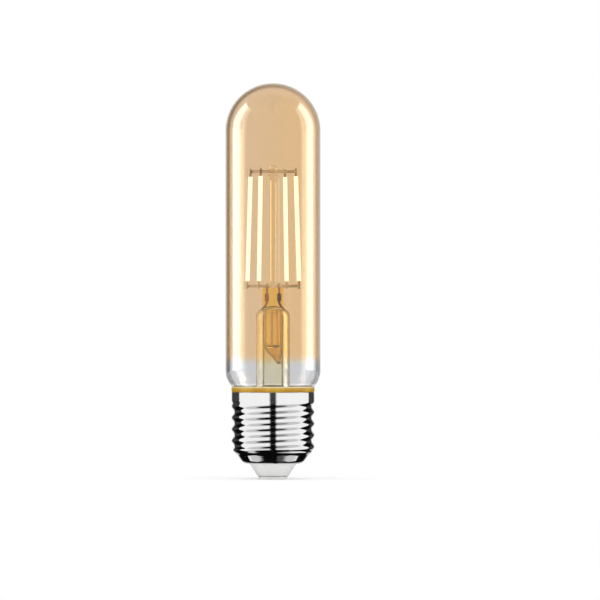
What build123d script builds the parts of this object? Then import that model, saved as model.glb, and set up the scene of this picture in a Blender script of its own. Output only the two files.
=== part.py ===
from build123d import *
import os
from math import acos, cos, degrees, radians, sin, sqrt

# A tubular LED filament lamp on a screw cap, standing cap down. Millimetres, +Z up.
# The origin is the middle of the contact's lower face, Z is the screw axis and the front is -Y.

# Lamp as a whole
overall_length = 125.0
fit_gap = 0.05  # left between pieces that seat on or in each other

# Glass envelope
glass_diameter = 30.0
glass_wall = 0.8
shoulder_radius = 8.0  # arc that draws the tube in to the neck
neck_rise = 0.9  # straight neck above the shell's rim
seal_depth = 1.4  # below the rim, where the neck is fused to the stem's flare

# Screw shell, rolled from sheet
cap_height = 27.4
cap_wall = 0.3
crest_diameter = 26.2
thread_pitch = 3.63
thread_depth = 0.85
skirt_height = 2.9  # plain rim above the thread
thread_bottom = 8.4
thread_run_out = 1.0  # height over which the thread fades in at each end
crest_height = 21.1  # level at which a crest passes +X
strips_per_turn = 8
nose_diameter = 18.4  # lower edge of the cone, before it is rounded
nose_height = 4.75
nose_round = 2.6
lip_width = 1.8  # turned in under the cone

# Cement between the neck and the shell
cement_thickness = 0.65
cement_depth = 1.2  # below the rim
bead_overhang = 0.05  # of the visible bead past the shell

# Insulator and contact
insulator_foot_diameter = 10.2
insulator_flange_width = 0.65
insulator_flange_height = 1.0
contact_diameter = 9.2
contact_thickness = 0.95
contact_edge_radius = 0.35
shank_diameter = 2.4
shank_end = 0.4  # riveted end that stands above the insulator

# Stem with its press
stem_diameter = 10.8
stem_wall = 0.9
flare_radius = 4.4
stem_shoulder_radius = 2.6
press_height = 7.4  # above the closed end of the stem's bore
press_width = 6.9
press_depth = 3.4
press_corner = 1.2
press_edge = 0.5
vent_diameter = 1.4
vent_rise = 2.0  # of the vent's side hole above the closed end of the stem

# Exhaust tube, melted off in a slanted nib
exhaust_diameter = 5.2
exhaust_wall = 0.6
exhaust_end = 41.3
nib_length = 5.0
nib_diameter = 1.4

# Support rod
rod_diameter = 2.0
button_diameter = 3.0
collar_height = 0.6

# Lead-in wires
lead_diameter = 0.6
lead_gap = 0.1  # between a wire and the exhaust tube
lead_rise = 2.6  # above the closed end of the stem, over which a wire draws in
lead_bend = 1.5
weld_diameter = 1.2  # knot where two lengths of a wire are joined, sealed in the press
weld_length = 2.4
weld_rise = 3.1  # of the knot above the closed end of the stem
lead_tail = 0.6  # soldered end below the board
lead_stub = 0.4  # welded end above the bracket

# Filaments, two pairs, each stick leaning in a little towards its top
filament_length = 33.0
filament_width = 1.4
filament_thickness = 1.2
filament_corner = 0.5
filament_base = 62.5
filament_ring_bottom = 18.5  # diameter of the circle through the four lower ends
filament_ring_top = 16.3
set_angle = 17.0  # turn of the whole set, from +X to the middle of the right pair
pair_angle = 45.0  # from the middle of a pair to each of its sticks
tab_length = 2.5
tab_width = 1.1
tab_thickness = 0.25
bare_tab = 1.15  # between the coat and the strip

# Metal strips that carry the filaments
strip_thickness = 0.4
strip_height = 0.9
strip_overhang = 0.3  # of a strip past the tab
hub_wall = 0.4
hub_gap = 0.15  # between a bracket's eye and the support rod

# Driver board in the cap
board_rim_gap = 0.5
board_thickness = 1.0
wire_diameter = 0.7  # live and neutral leads
wire_end = 0.6  # soldered end past the board or inside the contact
capacitor_diameter = 6.3
capacitor_length = 9.5
capacitor_place = (0.0, 5.8)
capacitor_pin_spacing = 2.5
groove_depth = 0.25
groove_height = 1.2
pin_diameter = 0.5
fuse_diameter = 2.4
fuse_length = 6.3
fuse_span = 9.6
fuse_place = (0.0, -7.6)
fuse_bend = 0.8
rectifier_size = (4.7, 3.9, 2.4)
rectifier_place = (6.2, -3.0)
rectifier_leg_pitch = 2.54
chip_size = (4.9, 3.9, 1.5)
chip_place = (-6.2, -3.0)
chip_leg_pitch = 1.27
leg_width = 0.45
leg_thickness = 0.2
leg_foot = 0.6
leg_reach = 0.5
resistor_size = (2.0, 1.25, 0.55)
resistor_places = ((-6.4, 4.0), (6.4, 4.0))
neutral_inset = 1.05  # of the neutral lead's hole from the board's edge
neutral_lift = 2.5
neutral_length = 8.0

# Values that follow from those above
glass_radius = glass_diameter / 2
crest_radius = crest_diameter / 2
root_radius = crest_radius - thread_depth
bore_radius = root_radius - cap_wall
skirt_bore_radius = crest_radius - cap_wall
neck_radius = skirt_bore_radius - cement_thickness
nose_radius = nose_diameter / 2
thread_top = cap_height - skirt_height
seal_height = cap_height - seal_depth
cone_slope = (root_radius - nose_radius) / (thread_bottom - nose_height)
cone_wall = cap_wall * sqrt(1 + cone_slope**2)  # measured level
lip_radius = nose_radius - lip_width
lip_top = nose_height + cap_wall
flange_top = lip_top + fit_gap + insulator_flange_height
shank_radius = shank_diameter / 2
stem_radius = stem_diameter / 2
lead_radius = lead_diameter / 2
weld_radius = weld_diameter / 2
lead_spread = exhaust_diameter / 2 + lead_gap + lead_radius  # from the axis, inside the stem
nib_offset = (exhaust_diameter - nib_diameter) / 2
wire_radius = wire_diameter / 2
pin_radius = pin_diameter / 2
rod_radius = rod_diameter / 2
filament_top = filament_base + filament_length
bridge_height = filament_top + bare_tab
bracket_height = filament_base - bare_tab - strip_height
hub_radius = lead_radius + fit_gap + hub_wall
press_lead_spread = rod_radius + hub_gap + hub_radius
press_top = bracket_height - fit_gap
stem_end = press_top - press_height  # closed end of the stem's bore
stem_shoulder_height = stem_end + stem_wall - stem_shoulder_radius
weld_height = stem_end + weld_rise
board_radius = bore_radius - board_rim_gap
board_bottom = nose_height + (board_radius + cone_wall - nose_radius) / cone_slope + fit_gap
board_top = board_bottom + board_thickness
neutral_place = board_radius - neutral_inset
fuse_axis_height = board_top + fuse_diameter / 2 + fit_gap

os.makedirs("parts", exist_ok=True)


def write(piece, name):
    """Label a finished piece and write it out."""
    piece.part.label = name
    export_step(piece.part, f"parts/{name}.step")


# Envelope: the outline of the blown tube turned about the axis, then hollowed from its open neck
shoulder_centre = glass_radius - shoulder_radius
neck_angle = degrees(acos((neck_radius - shoulder_centre) / shoulder_radius))
shoulder_height = cap_height + neck_rise + shoulder_radius * sin(radians(neck_angle))
dome_height = overall_length - glass_radius
with BuildPart() as glass_envelope:
    with BuildSketch(Plane.XZ):
        with BuildLine():
            dome = CenterArc((0, dome_height), glass_radius, 0, 90)
            tube = Line(dome @ 0, (glass_radius, shoulder_height))
            shoulder = CenterArc((shoulder_centre, shoulder_height), shoulder_radius, 0, -neck_angle)
            neck = Line(shoulder @ 1, (neck_radius, seal_height))
            Polyline(neck @ 1, (0, seal_height), dome @ 1)
        make_face()
    revolve(axis=Axis.Z)
    offset(amount=-glass_wall, openings=glass_envelope.faces().sort_by(Axis.Z)[0])
write(glass_envelope, "glass_envelope")


def lead_path(side):
    """Route of a lead-in wire: up from the board, inward through the press and out at its top."""
    with BuildLine() as route:
        FilletPolyline(
            (side * lead_spread, 0, board_bottom - lead_tail),
            (side * lead_spread, 0, stem_end),
            (side * press_lead_spread, 0, stem_end + lead_rise),
            (side * press_lead_spread, 0, bracket_height + strip_height + lead_stub),
            radius=lead_bend,
        )
    return route.wire()


# Stem: a tube flared at its foot to meet the neck, closed by a shoulder, with the flat press on top
flare_centre = (stem_radius + flare_radius, seal_height + flare_radius)
flare_foot = seal_height - stem_wall
shoulder_middle = (stem_radius - stem_shoulder_radius, stem_shoulder_height)
with BuildPart() as stem_tube:
    with BuildSketch(Plane.XZ):
        with BuildLine():
            flare_outer = CenterArc(flare_centre, flare_radius, -90, -90)
            flare_inner = CenterArc(flare_centre, flare_radius + stem_wall, -90, -90)
            Polyline(
                flare_outer @ 0,
                (neck_radius, seal_height),
                (neck_radius, flare_foot),
                flare_inner @ 0,
            )
            top_outer = CenterArc(shoulder_middle, stem_shoulder_radius, 0, 90)
            top_inner = CenterArc(shoulder_middle, stem_shoulder_radius - stem_wall, 0, 90)
            Line(flare_outer @ 1, top_outer @ 0)
            Line(flare_inner @ 1, top_inner @ 0)
            Polyline(
                top_outer @ 1,
                (0, stem_shoulder_height + stem_shoulder_radius),
                (0, stem_end),
                top_inner @ 1,
            )
        make_face()
    revolve(axis=Axis.Z)
    with BuildSketch(Plane.XY.offset(stem_end)):
        RectangleRounded(press_width, press_depth, press_corner)
    extrude(amount=press_top - stem_end)
    fillet(stem_tube.faces().sort_by(Axis.Z)[-1].edges(), press_edge)
    # The vent joins the exhaust tube's bore to the inside of the envelope, through the back of the press
    with BuildSketch(Plane.XY.offset(stem_end)):
        Circle(vent_diameter / 2)
    extrude(amount=vent_rise, mode=Mode.SUBTRACT)
    with BuildSketch(Plane.XZ):
        with Locations((0, stem_end + vent_rise)):
            Circle(vent_diameter / 2)
    extrude(amount=-press_depth, mode=Mode.SUBTRACT)
    # The glass closes round both lead-in wires and their knots
    for side in (-1, 1):
        path = lead_path(side)
        with BuildSketch(Plane(origin=path @ 0, z_dir=path % 0)):
            Circle(lead_radius + fit_gap)
        sweep(path=path, mode=Mode.SUBTRACT)
        with BuildSketch(Plane.XY.offset(weld_height - fit_gap)):
            with Locations((side * press_lead_spread, 0)):
                Circle(weld_radius + fit_gap)
        extrude(amount=weld_length + 2 * fit_gap, mode=Mode.SUBTRACT)
write(stem_tube, "stem_tube")

# Exhaust tube: open under the press, its lower end drawn out to one side and sealed
with BuildPart() as exhaust_tube:
    with BuildSketch(Plane.XY.offset(exhaust_end)):
        Circle(exhaust_diameter / 2)
    extrude(amount=stem_end - fit_gap - exhaust_end)
    with BuildSketch(Plane.XY.offset(exhaust_end)):
        Circle(exhaust_diameter / 2)
    with BuildSketch(Plane.XY.offset(exhaust_end - nib_length)):
        with Locations((nib_offset, 0)):
            Circle(nib_diameter / 2)
    loft()
    with BuildSketch(Plane.XY.offset(exhaust_end)):
        Circle(exhaust_diameter / 2 - exhaust_wall)
    extrude(amount=stem_end - exhaust_end, mode=Mode.SUBTRACT)
write(exhaust_tube, "exhaust_tube")

# Support rod: a glass rod on the press, thickened under and over the bridge that it carries
bridge_top = bridge_height + strip_height
collar_radius = button_diameter / 2
with BuildPart() as support_rod:
    with BuildSketch(Plane.XZ):
        with BuildLine():
            Polyline(
                (0, press_top),
                (rod_radius, press_top),
                (rod_radius, bridge_height - fit_gap - 2 * collar_height),
                (collar_radius, bridge_height - fit_gap - collar_height),
                (collar_radius, bridge_height - fit_gap),
                (rod_radius, bridge_height - fit_gap),
                (rod_radius, bridge_top + fit_gap),
                (collar_radius, bridge_top + fit_gap),
            )
            button = CenterArc((0, bridge_top + fit_gap), collar_radius, 0, 90)
            Line(button @ 1, (0, press_top))
        make_face()
    revolve(axis=Axis.Z)
write(support_rod, "support_rod")

# Lead-in wires
for side, side_name in ((-1, "left"), (1, "right")):
    path = lead_path(side)
    with BuildPart() as lead_wire:
        with BuildSketch(Plane(origin=path @ 0, z_dir=path % 0)):
            Circle(lead_radius)
        sweep(path=path)
        with BuildSketch(Plane.XY.offset(weld_height)):
            with Locations((side * press_lead_spread, 0)):
                Circle(weld_radius)
        extrude(amount=weld_length)
    write(lead_wire, f"lead_wire_{side_name}")


def filament_radius(height):
    """Distance of a filament's axis from the lamp's axis at a height."""
    share = (height - filament_base) / filament_length
    return (filament_ring_bottom + share * (filament_ring_top - filament_ring_bottom)) / 2


def strip_place(height):
    """Where the middle of a strip's cross-bar lies, and half its length, to touch two tabs at a height."""
    radius = filament_radius(height + strip_height / 2)
    tab_face = radius * cos(radians(pair_angle)) - tab_thickness / 2 - fit_gap
    half_length = radius * sin(radians(pair_angle)) + tab_width / 2 + strip_overhang
    return tab_face - strip_thickness / 2, half_length


# Bottom brackets: a cross-bar under each pair of filaments, on a neck with an eye round the lead-in wire
bar_place, bar_half = strip_place(bracket_height)
for side_name, direction, lead_side in (("left", set_angle + 180, -1), ("right", set_angle, 1)):
    along = (cos(radians(direction)), sin(radians(direction)), 0)
    eye_out = press_lead_spread * lead_side * along[0]
    eye_across = -press_lead_spread * lead_side * along[1]
    with BuildPart() as bottom_bracket:
        with BuildSketch(Plane(origin=(0, 0, bracket_height), x_dir=along, z_dir=(0, 0, 1))):
            with Locations((bar_place, 0)):
                Rectangle(strip_thickness, 2 * bar_half)
            with Locations(((eye_out + bar_place) / 2, eye_across)):
                Rectangle(bar_place - eye_out, strip_thickness)
            with Locations((eye_out, eye_across)):
                Circle(hub_radius)
                Circle(lead_radius + fit_gap, mode=Mode.SUBTRACT)
        extrude(amount=strip_height)
    write(bottom_bracket, f"bottom_bracket_{side_name}")

# Top bridge: two cross-bars joined by a link with an eye round the rod
bar_place, bar_half = strip_place(bridge_height)
along = (cos(radians(set_angle)), sin(radians(set_angle)), 0)
with BuildPart() as top_bridge:
    with BuildSketch(Plane(origin=(0, 0, bridge_height), x_dir=along, z_dir=(0, 0, 1))):
        with Locations((-bar_place, 0), (bar_place, 0)):
            Rectangle(strip_thickness, 2 * bar_half)
        Rectangle(2 * bar_place, strip_thickness)
        Circle(rod_radius + fit_gap + hub_wall)
        Circle(rod_radius + fit_gap, mode=Mode.SUBTRACT)
    extrude(amount=strip_height)
write(top_bridge, "top_bridge")

# Filaments: coated sticks with a metal tab at each end, flat against the strips' outer faces
filament_angles = [
    set_angle + pair_angle,
    set_angle + 180 - pair_angle,
    set_angle + 180 + pair_angle,
    set_angle - pair_angle,
]
for number, angle in enumerate(filament_angles, start=1):
    outward = Vector(cos(radians(angle)), sin(radians(angle)), 0)
    foot = outward * filament_radius(filament_base) + Vector(0, 0, filament_base)
    head = outward * filament_radius(filament_top) + Vector(0, 0, filament_top)
    bar_direction = (-sin(radians(set_angle)), cos(radians(set_angle)), 0)
    foot_plane = Plane(origin=foot, x_dir=bar_direction, z_dir=head - foot)
    with BuildPart() as filament:
        with BuildSketch(foot_plane):
            RectangleRounded(filament_width, filament_thickness, filament_corner)
        extrude(amount=(head - foot).length)
    write(filament, f"filament_{number}")
    with BuildPart() as bottom_tab:
        with BuildSketch(foot_plane):
            Rectangle(tab_width, tab_thickness)
        extrude(amount=-tab_length)
    write(bottom_tab, f"filament_{number}_bottom_tab")
    with BuildPart() as top_tab:
        with BuildSketch(foot_plane.offset((head - foot).length)):
            Rectangle(tab_width, tab_thickness)
        extrude(amount=tab_length)
    write(top_tab, f"filament_{number}_top_tab")

# Screw shell. A level circle whose centre runs round the axis once per pitch leaves a rounded, rolled
# thread: the side that leans out is the crest and the side opposite is the root.
strip_count = round(strips_per_turn * (thread_top - thread_bottom) / thread_pitch)
with BuildPart() as cap_shell:
    for step in range(strip_count + 1):
        climb = step / strip_count
        level = thread_bottom + climb * (thread_top - thread_bottom)
        fade = min(1, (level - thread_bottom) / thread_run_out, (thread_top - level) / thread_run_out)
        swing = fade * thread_depth / 2
        turn = radians(360 * (level - crest_height) / thread_pitch)
        with BuildSketch(Plane.XY.offset(level)):
            with Locations((swing * cos(turn), swing * sin(turn))):
                Circle(crest_radius - swing if climb > 0.5 else root_radius + swing)
    loft(ruled=True)
    with BuildSketch(Plane.XZ):
        with BuildLine():
            Polyline(
                (0, thread_top),
                (crest_radius, thread_top),
                (crest_radius, cap_height),
                (0, cap_height),
                close=True,
            )
        make_face()
        with BuildLine():
            cone = FilletPolyline(
                (0, nose_height),
                (nose_radius, nose_height),
                (root_radius, thread_bottom),
                radius=nose_round,
            )
            Polyline(cone @ 1, (0, thread_bottom), cone @ 0)
        make_face()
    revolve(axis=Axis.Z)
    with BuildSketch(Plane.XZ):
        with BuildLine():
            cone_bore = FilletPolyline(
                (lip_radius, lip_top),
                (nose_radius + cone_slope * cap_wall - cone_wall, lip_top),
                (bore_radius, nose_height + (bore_radius + cone_wall - nose_radius) / cone_slope),
                radius=nose_round - cap_wall,
            )
            Polyline(
                cone_bore @ 1,
                (bore_radius, thread_top),
                (skirt_bore_radius, thread_top),
                (skirt_bore_radius, cap_height),
                (0, cap_height),
                (0, nose_height),
                (lip_radius, nose_height),
                cone_bore @ 0,
            )
        make_face()
    revolve(axis=Axis.Z, mode=Mode.SUBTRACT)
write(cap_shell, "cap_shell")

# Cement: fills the gap between neck and skirt and shows as a bead between the rim and the glass
bead_radius = crest_radius + bead_overhang
cement_arc = shoulder_radius + fit_gap
cement_inner = neck_radius + fit_gap
bead_angle = degrees(acos((bead_radius - shoulder_centre) / cement_arc))
throat_angle = degrees(acos((cement_inner - shoulder_centre) / cement_arc))
with BuildPart() as basing_cement:
    with BuildSketch(Plane.XZ):
        with BuildLine():
            seat_middle = (shoulder_centre, shoulder_height)
            seat = CenterArc(seat_middle, cement_arc, -bead_angle, bead_angle - throat_angle)
            Polyline(
                seat @ 1,
                (cement_inner, cap_height - cement_depth),
                (skirt_bore_radius - fit_gap, cap_height - cement_depth),
                (skirt_bore_radius - fit_gap, cap_height + fit_gap),
                (bead_radius, cap_height + fit_gap),
                seat @ 0,
            )
        make_face()
    revolve(axis=Axis.Z)
write(basing_cement, "basing_cement")

# Insulator: a tapered ring outside the lip, with a flange that rests on the lip from inside
neck_of_insulator = lip_radius - fit_gap
with BuildPart() as cap_insulator:
    with BuildSketch(Plane.XZ):
        with BuildLine():
            Polyline(
                (shank_radius + fit_gap, contact_thickness),
                (insulator_foot_diameter / 2, contact_thickness),
                (neck_of_insulator, nose_height),
                (neck_of_insulator, lip_top + fit_gap),
                (neck_of_insulator + insulator_flange_width, lip_top + fit_gap),
                (neck_of_insulator + insulator_flange_width, flange_top),
                (shank_radius + fit_gap, flange_top),
                close=True,
            )
        make_face()
    revolve(axis=Axis.Z)
write(cap_insulator, "cap_insulator")

# Contact: a round head under the insulator, with a hollow shank that takes the live lead
head_top = contact_thickness - fit_gap
wire_foot = contact_thickness + wire_end
with BuildPart() as centre_contact:
    with BuildSketch(Plane.XY):
        Circle(contact_diameter / 2)
    extrude(amount=head_top)
    fillet(centre_contact.edges().sort_by(Axis.Z)[0], contact_edge_radius)
    with BuildSketch(Plane.XY.offset(head_top)):
        Circle(shank_radius)
    extrude(amount=flange_top + shank_end - head_top)
    with BuildSketch(Plane.XY.offset(wire_foot)):
        Circle(wire_radius + fit_gap)
    extrude(amount=flange_top + shank_end - wire_foot, mode=Mode.SUBTRACT)
write(centre_contact, "centre_contact")

# Driver board: a disc that sits in the cone of the shell, drilled for every lead
lead_holes = [(-lead_spread, 0), (lead_spread, 0)]
wire_holes = [(0, 0), (0, neutral_place)]
pin_holes = [
    (capacitor_place[0] - capacitor_pin_spacing / 2, capacitor_place[1]),
    (capacitor_place[0] + capacitor_pin_spacing / 2, capacitor_place[1]),
    (fuse_place[0] - fuse_span / 2, fuse_place[1]),
    (fuse_place[0] + fuse_span / 2, fuse_place[1]),
]
with BuildPart() as driver_board:
    with BuildSketch(Plane.XY.offset(board_bottom)):
        Circle(board_radius)
        with Locations(lead_holes):
            Circle(lead_radius + fit_gap, mode=Mode.SUBTRACT)
        with Locations(wire_holes):
            Circle(wire_radius + fit_gap, mode=Mode.SUBTRACT)
        with Locations(pin_holes):
            Circle(pin_radius + fit_gap, mode=Mode.SUBTRACT)
    extrude(amount=board_thickness)
write(driver_board, "driver_board")

# Live lead: straight up from the contact's shank through the middle of the board
with BuildPart() as live_lead:
    with BuildSketch(Plane.XY.offset(wire_foot + fit_gap)):
        Circle(wire_radius)
    extrude(amount=board_top + wire_end - wire_foot - fit_gap)
write(live_lead, "live_lead")

# Neutral lead: up from the board and out to lie along the shell's bore
neutral_wall = bore_radius - wire_radius - fit_gap
with BuildPart() as neutral_lead:
    with BuildLine() as neutral_path:
        FilletPolyline(
            (0, neutral_place, board_bottom - wire_end),
            (0, neutral_place, board_top + neutral_lift),
            (0, neutral_wall, board_top + 2 * neutral_lift),
            (0, neutral_wall, board_top + 2 * neutral_lift + neutral_length),
            radius=wire_diameter,
        )
    with BuildSketch(Plane.XY.offset(board_bottom - wire_end)):
        with Locations((0, neutral_place)):
            Circle(wire_radius)
    sweep(path=neutral_path.wire())
write(neutral_lead, "neutral_lead")

# Smoothing capacitor: an upright can with a rolled groove near its foot
can_radius = capacitor_diameter / 2
with BuildPart() as smoothing_capacitor:
    with BuildSketch(Plane(origin=(*capacitor_place, board_top), x_dir=(1, 0, 0), z_dir=(0, -1, 0))):
        with BuildLine():
            Polyline(
                (0, 0),
                (can_radius, 0),
                (can_radius, groove_height),
                (can_radius - groove_depth, groove_height + groove_depth),
                (can_radius, groove_height + 2 * groove_depth),
                (can_radius, capacitor_length - groove_depth),
                (can_radius - groove_depth, capacitor_length),
                (0, capacitor_length),
                close=True,
            )
        make_face()
    revolve(axis=Axis((*capacitor_place, 0), (0, 0, 1)))
    with BuildSketch(Plane.XY.offset(board_top)):
        with Locations(pin_holes[:2]):
            Circle(pin_radius)
    extrude(amount=-board_thickness - wire_end)
write(smoothing_capacitor, "smoothing_capacitor")

# Fuse resistor: lies on the board, with its leads bent down through it
fuse_left = fuse_place[0] - fuse_span / 2
fuse_right = fuse_place[0] + fuse_span / 2
with BuildPart() as fuse_resistor:
    with BuildSketch(Plane.YZ.offset(fuse_place[0])):
        with Locations((fuse_place[1], fuse_axis_height)):
            Circle(fuse_diameter / 2)
    extrude(amount=fuse_length / 2, both=True)
    fillet(fuse_resistor.edges().filter_by(GeomType.CIRCLE), fuse_diameter / 4)
    with BuildLine() as fuse_path:
        FilletPolyline(
            (fuse_left, fuse_place[1], board_bottom - wire_end),
            (fuse_left, fuse_place[1], fuse_axis_height),
            (fuse_right, fuse_place[1], fuse_axis_height),
            (fuse_right, fuse_place[1], board_bottom - wire_end),
            radius=fuse_bend,
        )
    with BuildSketch(Plane.XY.offset(board_bottom - wire_end)):
        with Locations((fuse_left, fuse_place[1])):
            Circle(pin_radius)
    sweep(path=fuse_path.wire())
write(fuse_resistor, "fuse_resistor")


def moulded_package(name, place, size, legs_per_side, leg_pitch):
    """A moulded chip on the board with bent legs down both long sides."""
    length, width, height = size
    with BuildPart() as package:
        with BuildSketch(Plane(origin=(*place, board_top + leg_thickness / 2))):
            Rectangle(length, width)
        extrude(amount=height)
        for index in range(legs_per_side):
            leg_at = (index - (legs_per_side - 1) / 2) * leg_pitch
            for leg_side in (-1, 1):
                leg_plane = Plane(
                    origin=(place[0] + leg_at, place[1], board_top),
                    x_dir=(0, leg_side, 0),
                    z_dir=(leg_side, 0, 0),
                )
                with BuildSketch(leg_plane):
                    with BuildLine():
                        Polyline(
                            (width / 2, height / 2),
                            (width / 2 + leg_reach, height / 2),
                            (width / 2 + leg_reach, leg_thickness),
                            (width / 2 + leg_reach + leg_foot, leg_thickness),
                            (width / 2 + leg_reach + leg_foot, 0),
                            (width / 2 + leg_reach - leg_thickness, 0),
                            (width / 2 + leg_reach - leg_thickness, height / 2 - leg_thickness),
                            (width / 2, height / 2 - leg_thickness),
                            close=True,
                        )
                    make_face()
                extrude(amount=leg_width / 2, both=True)
    write(package, name)


moulded_package("bridge_rectifier", rectifier_place, rectifier_size, 2, rectifier_leg_pitch)
moulded_package("driver_chip", chip_place, chip_size, 4, chip_leg_pitch)

# Sense resistors: flat chips soldered to the board
for number, place in enumerate(resistor_places, start=1):
    with BuildPart() as sense_resistor:
        with BuildSketch(Plane(origin=(*place, board_top))):
            Rectangle(resistor_size[0], resistor_size[1])
        extrude(amount=resistor_size[2])
    write(sense_resistor, f"sense_resistor_{number}")
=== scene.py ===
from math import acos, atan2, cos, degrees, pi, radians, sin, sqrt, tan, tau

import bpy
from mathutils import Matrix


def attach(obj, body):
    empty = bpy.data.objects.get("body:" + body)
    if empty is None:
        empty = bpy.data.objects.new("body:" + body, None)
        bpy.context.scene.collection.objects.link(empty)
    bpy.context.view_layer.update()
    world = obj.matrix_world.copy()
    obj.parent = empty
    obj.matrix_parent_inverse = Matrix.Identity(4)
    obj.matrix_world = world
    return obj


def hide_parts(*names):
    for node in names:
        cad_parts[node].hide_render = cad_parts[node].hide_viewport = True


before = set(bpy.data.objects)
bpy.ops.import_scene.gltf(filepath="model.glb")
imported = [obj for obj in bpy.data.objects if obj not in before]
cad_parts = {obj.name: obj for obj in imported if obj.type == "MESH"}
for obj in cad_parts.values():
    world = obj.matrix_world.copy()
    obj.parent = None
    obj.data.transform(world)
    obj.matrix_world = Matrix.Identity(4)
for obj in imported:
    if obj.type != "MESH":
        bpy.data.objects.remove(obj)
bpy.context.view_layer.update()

# %% [markdown]
# # An amber filament lamp, dressed for the camera
# The frame that was just loaded holds the lamp's solids, one object per real piece, in metres and in place.
# This lesson keeps those that already look right and gives them a finish. It makes smoother meshes for the
# pieces whose shine would show every facet: the glass, the screw shell, the cement and the insulator.

MM = 0.001  # the sizes below are in millimetres

# %% [markdown]
# ## Shader maths as plain arithmetic
# A finish is a graph of nodes. Adding Math nodes one by one hides the idea behind the wiring, so a small class
# wraps an output socket and overloads the operators: `1 - mask` then adds a Subtract node by itself. Every other
# node comes from one method, which sets the node's options first and its sockets after.

# %% A value with operators
class Value:
    """One output of a node, with operators that add Math nodes."""

    def __init__(self, finish, socket):
        self.finish = finish
        self.socket = socket

    def math(self, operation, *inputs):
        return self.finish.node("ShaderNodeMath", {"operation": operation}, dict(enumerate(inputs)))

    def __add__(self, other):
        return self.math("ADD", self, other)

    def __sub__(self, other):
        return self.math("SUBTRACT", self, other)

    def __rsub__(self, other):
        return self.math("SUBTRACT", other, self)

    def __mul__(self, other):
        return self.math("MULTIPLY", self, other)

    def __truediv__(self, other):
        return self.math("DIVIDE", self, other)

    def __rtruediv__(self, other):
        return self.math("DIVIDE", other, self)

    def __neg__(self):
        return self * -1

    def __abs__(self):
        return self.math("ABSOLUTE", self)

    __radd__ = __add__
    __rmul__ = __mul__


print("operators on a value: + - * / minus abs")

# %% A finish, which makes the nodes
class Finish:
    """The node tree of a material or of the world."""

    def __init__(self, owner):
        owner.use_nodes = True
        self.owner = owner
        self.tree = owner.node_tree
        self.tree.nodes.clear()

    def node(self, kind, settings=None, inputs=None, output=0):
        made = self.tree.nodes.new(kind)
        for key, setting in (settings or {}).items():
            setattr(made, key, setting)
        for key, value in (inputs or {}).items():
            if isinstance(value, Value):
                self.tree.links.new(value.socket, made.inputs[key])
            else:
                made.inputs[key].default_value = value
        return Value(self, made.outputs[output]) if made.outputs else None

    def place(self, stretch=(1, 1, 1)):
        """Where a point lies on the lamp, in millimetres, with each axis multiplied by its stretch."""
        here = self.node("ShaderNodeTexCoord", output="Object")
        scale = tuple(factor / MM for factor in stretch)
        return self.node("ShaderNodeVectorMath", {"operation": "MULTIPLY"}, {0: here, 1: scale})

    def along(self, axis):
        return self.node("ShaderNodeSeparateXYZ", None, {0: self.place()}, axis)

    def step(self, value, start, end):
        """0 up to start and 1 from end on, with a soft slope between."""
        settings = {"interpolation_type": "SMOOTHSTEP"}
        return self.node("ShaderNodeMapRange", settings, {0: value, 1: start, 2: end, 3: 0.0, 4: 1.0})

    def between(self, value, start, end, soft):
        return self.step(value, start - soft, start + soft) * (1 - self.step(value, end - soft, end + soft))

    def noise(self, scale, detail=2.0, stretch=(1, 1, 1)):
        sockets = {"Vector": self.place(stretch), "Scale": scale, "Detail": detail}
        return self.node("ShaderNodeTexNoise", None, sockets)

    def blend(self, factor, first, second):
        return self.node("ShaderNodeMix", {"data_type": "RGBA"}, {0: factor, 6: first, 7: second}, 2)


trial = Finish(bpy.data.materials.new("trial"))
rest = 1 - 0.5 * trial.along("Z")
print("nodes that 1 - 0.5 * Z takes:", len(trial.tree.nodes), "ending in", rest.socket.node.operation)
bpy.data.materials.remove(trial.owner)

# %% [markdown]
# ## Surfaces and colours
# Every surface here is one Principled shader: it covers metal, paint and clear glass, and it exports well. Glass
# gets a deeper tint where the wall turns away from the viewer, because there the light has farther to go in it.
# Layer Weight tells how far a face is turned. Colours read off a screen are turned into linear light first.

# %% A skin: the finish of a surface
class Skin(Finish):
    """The finish of a material, with one Principled shader."""

    def bump(self, height, strength, distance):
        sockets = {"Height": height, "Strength": strength, "Distance": distance * MM}
        return self.node("ShaderNodeBump", None, sockets)

    def rim(self, start, end):
        """0 where a face looks at the viewer and 1 where it turns away."""
        facing = self.node("ShaderNodeLayerWeight", None, {"Blend": 0.5}, "Facing")
        return self.step(facing, start, end)

    def surface(self, **sockets):
        names = {key.replace("_", " "): value for key, value in sockets.items()}
        shader = self.node("ShaderNodeBsdfPrincipled", None, names)
        self.node("ShaderNodeOutputMaterial", None, {"Surface": shader})
        print(self.owner.name, "made with", len(self.tree.nodes), "nodes")

    def glass(self, tint, deep, waves, strength, rim=(0.56, 0.74)):
        """Tinted glass, deeper in tone where the wall turns away."""
        self.surface(
            Base_Color=self.blend(self.rim(*rim), tint, deep),
            Roughness=0.0,
            IOR=1.5,
            Transmission_Weight=1.0,
            Normal=self.bump(waves, strength, 0.05),
        )


def new_finish(name):
    return Skin(bpy.data.materials.new(name))


def paint(red, green, blue):
    """A colour as a screen shows it, 0 to 255, in the linear values that a shader takes."""
    linear = [
        part / 255 / 12.92 if part < 11 else ((part / 255 + 0.055) / 1.055) ** 2.4
        for part in (red, green, blue)
    ]
    return (*linear, 1.0)


print("mid grey in linear light:", round(paint(128, 128, 128)[0], 3))

# %% [markdown]
# ## Turning a shape on the axis
# Almost everything on this lamp is round, as if turned on a lathe. The Screw modifier could spin an outline too,
# but a few rings are not quite round: the press is flattened and the thread swells and sinks. So the helper takes
# rings, each with a height and a radius that may depend on the angle, and joins neighbours with quads.

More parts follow.
